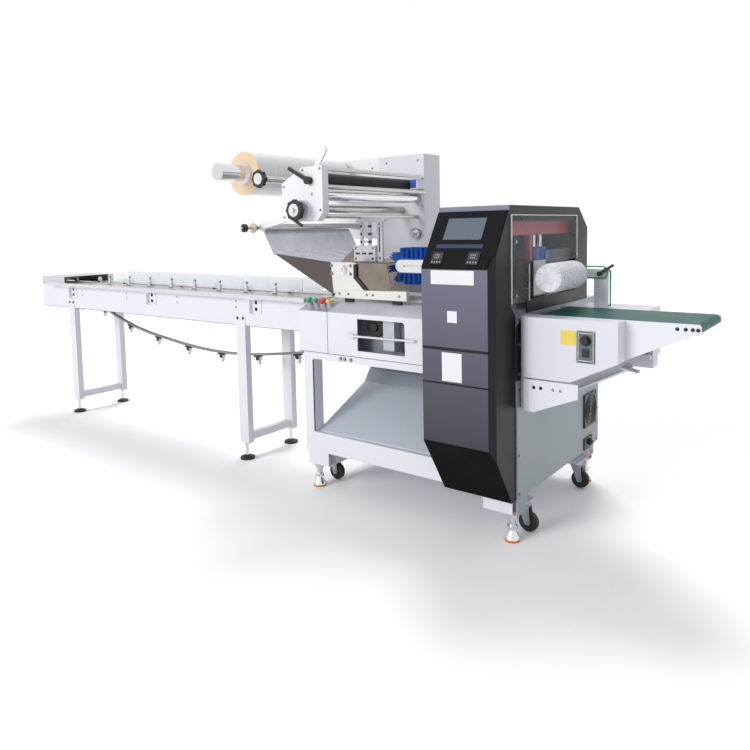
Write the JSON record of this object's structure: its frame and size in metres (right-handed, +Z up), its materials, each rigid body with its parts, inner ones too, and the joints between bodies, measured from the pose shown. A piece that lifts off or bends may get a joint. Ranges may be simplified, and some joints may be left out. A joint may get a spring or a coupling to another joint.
{
  "type": "horizontal flow wrapper",
  "caption": "Pillow-pack flow wrapping machine: lug-chain infeed, film reel and forming box over a frame on casters, console, jaw cover and belt outfeed.",
  "frame": {"origin": "middle of the footprint, at floor level", "axes": "+X along the product flow from infeed to outfeed, +Y from the operator side to the rear, +Z up"},
  "size_m": [4.0659, 1.003, 1.501],
  "materials": {
    "white_paint": "satin",
    "grey_paint": "satin",
    "pale_paint": "satin",
    "black_paint": "satin",
    "door_paint": "satin",
    "red_paint": "satin",
    "stainless": "satin",
    "chrome": "polished",
    "dark_steel": "satin",
    "rubber": "matte",
    "wheel_tyre": "matte",
    "white_plastic": "satin",
    "clear_plastic": "gloss",
    "clear_pane": "gloss",
    "film": "gloss",
    "film_sheet": "gloss",
    "black_plastic": "satin",
    "button_plastic": "gloss",
    "blue_bristle": "matte",
    "white_bristle": "matte",
    "screen": "gloss",
    "green_belt": "satin"
  },
  "bodies": {
    "machine": {"brush_belt": "blue_bristle", "brush_post": "white_paint", "button_box": "white_paint", "cabinet_doors": "door_paint", "chain_pushers": "white_plastic", "clamp_levers": "black_plastic", "console_instruments": "screen", "control_cabinet": "black_paint", "drip_pan": "grey_paint", "film_column": "white_paint", "film_web": "film_sheet", "foot_pads": "rubber", "foot_stems": "chrome", "former_shoulder": "stainless", "former_side_plates": "white_paint", "former_tube": "stainless", "front_panel": "white_paint", "guard_window": "clear_pane", "head_plates": "white_paint", "head_rods": "stainless", "hold_down_arm": "white_plastic", "housing_panels": "pale_paint", "infeed_beams": "white_paint", "infeed_deck": "stainless", "infeed_fittings": "stainless", "jaw_crosshead": "red_paint", "jaw_housing": "dark_steel", "leg_frames": "white_paint", "lug_chain": "dark_steel", "main_frame": "white_paint", "outfeed_bed": "stainless", "outfeed_belt": "green_belt", "outfeed_housings": "white_paint", "outfeed_side_plates": "white_paint", "outfeed_supports": "white_paint", "product_guides": "clear_plastic", "push_buttons": "button_plastic", "rear_enclosure": "grey_paint", "seal_cover": "black_paint", "table_top": "white_paint", "tail_cover": "white_paint", "window_drive": "dark_steel"},
    "film_reel": {"film_roll": "film", "reel_shaft": "chrome"},
    "feed_roll": {"feed_roller": "rubber"},
    "nip_roll": {"nip_roller": "chrome"},
    "head_wheel": {"head_handwheel": "black_plastic"},
    "reel_wheel": {"reel_handwheel": "black_plastic"},
    "upper_jaw_rotor": {"upper_jaw": "dark_steel"},
    "lower_jaw_rotor": {"lower_jaw": "dark_steel"},
    "brush_roll": {"outfeed_brush": "white_bristle"},
    "fork_front_left": {"caster_fork_front_left": "stainless"},
    "wheel_front_left": {"caster_wheel_front_left": "wheel_tyre"},
    "fork_front_right": {"caster_fork_front_right": "stainless"},
    "wheel_front_right": {"caster_wheel_front_right": "wheel_tyre"},
    "fork_rear_left": {"caster_fork_rear_left": "stainless"},
    "wheel_rear_left": {"caster_wheel_rear_left": "wheel_tyre"},
    "fork_rear_right": {"caster_fork_rear_right": "stainless"},
    "wheel_rear_right": {"caster_wheel_rear_right": "wheel_tyre"}
  },
  "joints": [
    {"name": "film_reel_spin", "type": "hinge", "parent": "machine", "child": "film_reel", "pos_m": [0.139, -0.0295, 1.403], "axis": [0, 1, 0], "continuous": true},
    {"name": "feed_roll_spin", "type": "hinge", "parent": "machine", "child": "feed_roll", "pos_m": [0.581, -0.0225, 1.352], "axis": [0, 1, 0], "continuous": true},
    {"name": "nip_roll_spin", "type": "hinge", "parent": "machine", "child": "nip_roll", "pos_m": [0.618, -0.0225, 1.285], "axis": [0, 1, 0], "continuous": true},
    {"name": "head_wheel_turn", "type": "hinge", "parent": "machine", "child": "head_wheel", "pos_m": [0.572, -0.4545, 1.221], "axis": [0, 1, 0], "continuous": true},
    {"name": "reel_wheel_turn", "type": "hinge", "parent": "machine", "child": "reel_wheel", "pos_m": [0.32, -0.4095, 1.364], "axis": [0, 1, 0], "continuous": true},
    {"name": "upper_jaw_turn", "type": "hinge", "parent": "machine", "child": "upper_jaw_rotor", "pos_m": [1.401, 0.1475, 0.938], "axis": [0, 1, 0], "continuous": true},
    {"name": "lower_jaw_turn", "type": "hinge", "parent": "machine", "child": "lower_jaw_rotor", "pos_m": [1.401, 0.1475, 0.86], "axis": [0, 1, 0], "continuous": true},
    {"name": "brush_roll_spin", "type": "hinge", "parent": "machine", "child": "brush_roll", "pos_m": [1.545, -0.0795, 0.957], "axis": [0, 1, 0], "continuous": true},
    {"name": "swivel_front_left", "type": "hinge", "parent": "machine", "child": "fork_front_left", "pos_m": [0.481, -0.1675, 0.1], "axis": [0, 0, 1], "continuous": true},
    {"name": "roll_front_left", "type": "hinge", "parent": "fork_front_left", "child": "wheel_front_left", "pos_m": [0.499, -0.1675, 0.0405], "axis": [0, 1, 0], "continuous": true},
    {"name": "swivel_front_right", "type": "hinge", "parent": "machine", "child": "fork_front_right", "pos_m": [1.419, -0.1675, 0.1], "axis": [0, 0, 1], "continuous": true},
    {"name": "roll_front_right", "type": "hinge", "parent": "fork_front_right", "child": "wheel_front_right", "pos_m": [1.437, -0.1675, 0.0405], "axis": [0, 1, 0], "continuous": true},
    {"name": "swivel_rear_left", "type": "hinge", "parent": "machine", "child": "fork_rear_left", "pos_m": [0.481, 0.3565, 0.1], "axis": [0, 0, 1], "continuous": true},
    {"name": "roll_rear_left", "type": "hinge", "parent": "fork_rear_left", "child": "wheel_rear_left", "pos_m": [0.499, 0.3565, 0.0405], "axis": [0, 1, 0], "continuous": true},
    {"name": "swivel_rear_right", "type": "hinge", "parent": "machine", "child": "fork_rear_right", "pos_m": [1.419, 0.3565, 0.1], "axis": [0, 0, 1], "continuous": true},
    {"name": "roll_rear_right", "type": "hinge", "parent": "fork_rear_right", "child": "wheel_rear_right", "pos_m": [1.437, 0.3565, 0.0405], "axis": [0, 1, 0], "continuous": true}
  ],
  "couplings": [
    {"joint": "lower_jaw_turn", "follows": "upper_jaw_turn", "ratio": -1}
  ]
}
